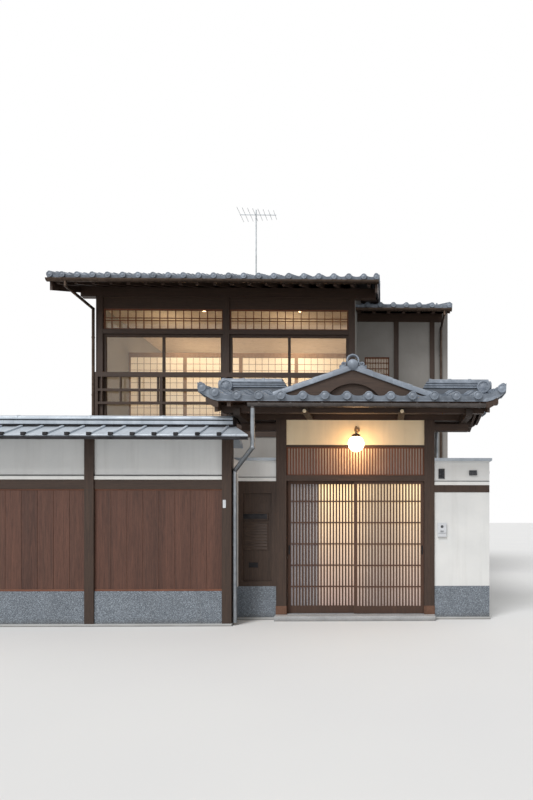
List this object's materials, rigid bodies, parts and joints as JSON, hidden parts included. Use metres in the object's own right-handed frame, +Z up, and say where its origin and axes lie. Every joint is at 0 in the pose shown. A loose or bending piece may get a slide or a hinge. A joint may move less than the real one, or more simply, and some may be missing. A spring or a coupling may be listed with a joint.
{
  "type": "machiya townhouse",
  "caption": "Two-storey timber townhouse with tiled roofs, a tiled street wall and a roofed gate with sliding lattice doors.",
  "frame": {"origin": "on the ground, under the middle of the gate threshold, on the centre line of the gate posts", "axes": "+X to the right seen from the street, +Y from the street to the house, +Z up"},
  "size_m": [7.32, 10.869, 8.9879],
  "materials": {
    "dark_wood": "stained, weathered satin",
    "red_wood": "stained, satin",
    "roof_tile": "smoked grey clay tile, soft sheen",
    "plaster": "fine lime plaster, matt",
    "clay_wall": "grey-pink clay plaster, matt",
    "washed_gravel": "washed gravel render",
    "granite": "flamed granite",
    "bronze_sheet": "dark oxidised sheet",
    "steel": "brushed",
    "light_metal": "weathered",
    "device_plastic": "fine satin",
    "clear_glass": "clear",
    "frosted_glass": "frosted",
    "lamp_glass": "opal, lit",
    "screen_paper": "thin handmade paper"
  },
  "bodies": {
    "root": {"gate_threshold": "granite", "gate_door_rails": "steel", "gate_posts": "dark_wood", "gate_beams": "dark_wood", "gate_arms": "red_wood", "gate_purlins": "dark_wood", "gate_transom": "red_wood", "gate_transom_pane": "frosted_glass", "gate_rafters": "dark_wood", "gate_roof_boards": "dark_wood", "gate_roof": "roof_tile", "gate_ridges": "roof_tile", "gate_gable_roof": "roof_tile", "gate_gable_front": "dark_wood", "gate_ridge_ends": "roof_tile", "gate_lamp": "bronze_sheet", "gate_lamp_globe": "lamp_glass", "gate_gutters": "bronze_sheet", "wall_plinths": "washed_gravel", "wall_plaster": "plaster", "sleeve_frames": "dark_wood", "sleeve_copings": "dark_wood", "intercom": "device_plastic", "street_wall_posts": "dark_wood", "street_wall_boards": "red_wood", "street_wall_rails": "dark_wood", "street_wall_roof": "roof_tile", "street_wall_ridge": "roof_tile", "garden_walls": "plaster", "garden_wall_copings": "roof_tile", "house_plinth": "washed_gravel", "floors": "red_wood", "party_wall_left": "clay_wall", "party_wall_right": "clay_wall", "gable_wall_right": "clay_wall", "back_walls": "clay_wall", "front_posts": "dark_wood", "front_beams": "dark_wood", "front_walls": "clay_wall", "window_sashes": "dark_wood", "window_glass": "clear_glass", "window_lattices": "red_wood", "railing": "dark_wood", "inner_screens": "red_wood", "screen_paper": "screen_paper", "house_doors": "red_wood", "roof_beams": "dark_wood", "house_rafters": "dark_wood", "house_roof_boards": "dark_wood", "main_roof": "roof_tile", "wing_roof": "roof_tile", "house_ridges": "roof_tile", "house_gutters": "bronze_sheet", "aerial": "light_metal"},
    "left_leaf": {"gate_door_left": "dark_wood", "gate_door_left_pane": "frosted_glass"},
    "right_leaf": {"gate_door_right": "dark_wood", "gate_door_right_pane": "frosted_glass"}
  },
  "joints": [
    {"name": "left_leaf_slide", "type": "slide", "parent": "root", "child": "left_leaf", "axis": [1, 0, 0], "range_m": [0, 0.885]},
    {"name": "right_leaf_slide", "type": "slide", "parent": "root", "child": "right_leaf", "axis": [-1, 0, 0], "range_m": [0, 0.885]}
  ]
}
